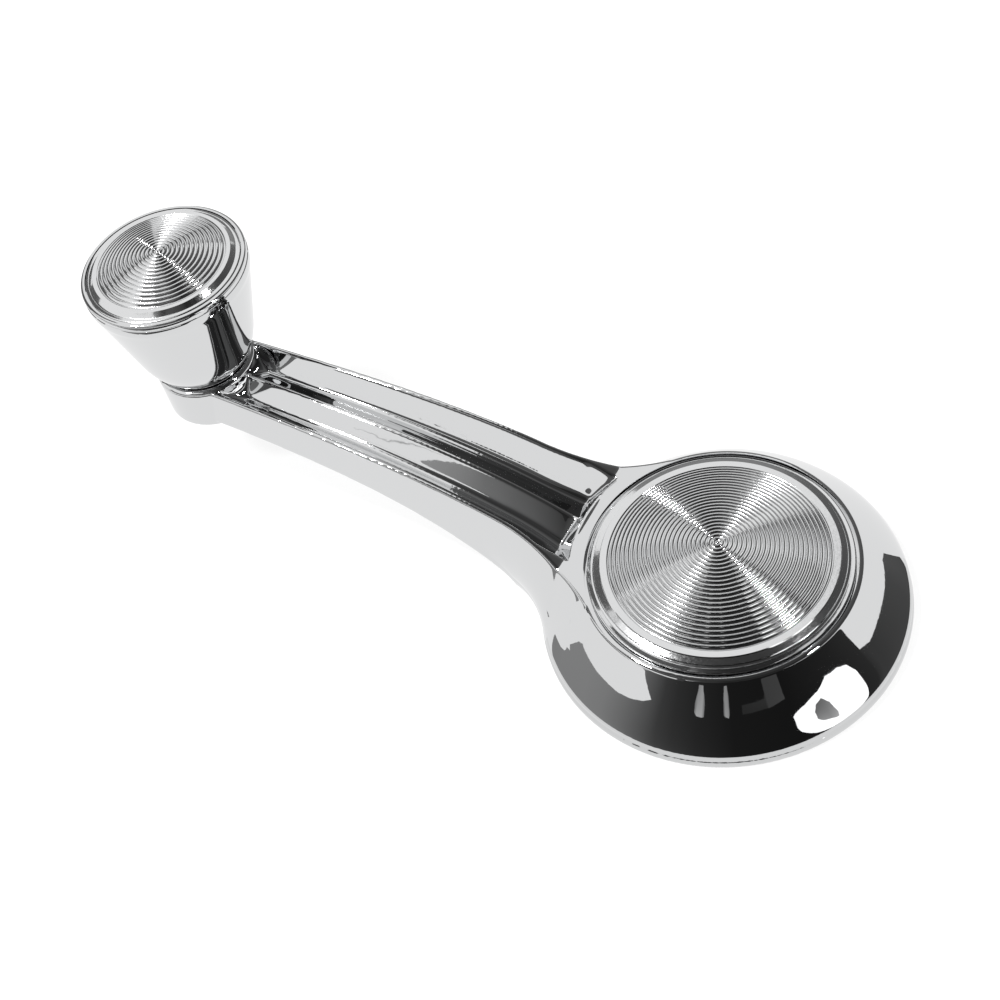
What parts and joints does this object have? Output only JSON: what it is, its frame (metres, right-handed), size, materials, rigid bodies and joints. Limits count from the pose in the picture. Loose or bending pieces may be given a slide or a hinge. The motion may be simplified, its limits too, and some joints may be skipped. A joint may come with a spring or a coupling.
{
  "type": "car window winder handle",
  "caption": "Chromed crank handle that winds a car window: domed, ring-grooved hub disc, troughed arm and a freely spinning knob, held on a splined shaft by a spring clip.",
  "frame": {"origin": "where the hub's axis meets the plane of the hub's back rim", "axes": "+Z along the hub's axis, away from the door; -X along the arm towards the knob; the XZ plane is the plane of symmetry"},
  "size_m": [0.1509, 0.0634, 0.0519],
  "materials": {
    "chromed_casting": "polished chrome plate on zinc die casting",
    "chromed_knob": "polished chrome plate on zinc die casting",
    "spun_disc": "bright, turned with fine ring grooves",
    "spring_steel": "dull spring steel",
    "plated_steel": "zinc-plated steel"
  },
  "bodies": {
    "crank": {"crank_arm": "chromed_casting", "hub_disc": "spun_disc", "knob_spindle": "plated_steel", "thrust_washer": "plated_steel", "spring_washer": "spring_steel"},
    "knob": {"knob_shell": "chromed_knob", "knob_disc": "spun_disc"},
    "clip": {"retaining_clip": "spring_steel"}
  },
  "joints": [
    {"name": "knob_spin", "type": "hinge", "parent": "crank", "child": "knob", "pos_m": [-0.1041, 0, 0.0256], "axis": [0, 0, 1], "continuous": true},
    {"name": "clip_slide", "type": "slide", "parent": "crank", "child": "clip", "axis": [-1, 0, 0], "range_m": [0, 0.012]}
  ]
}
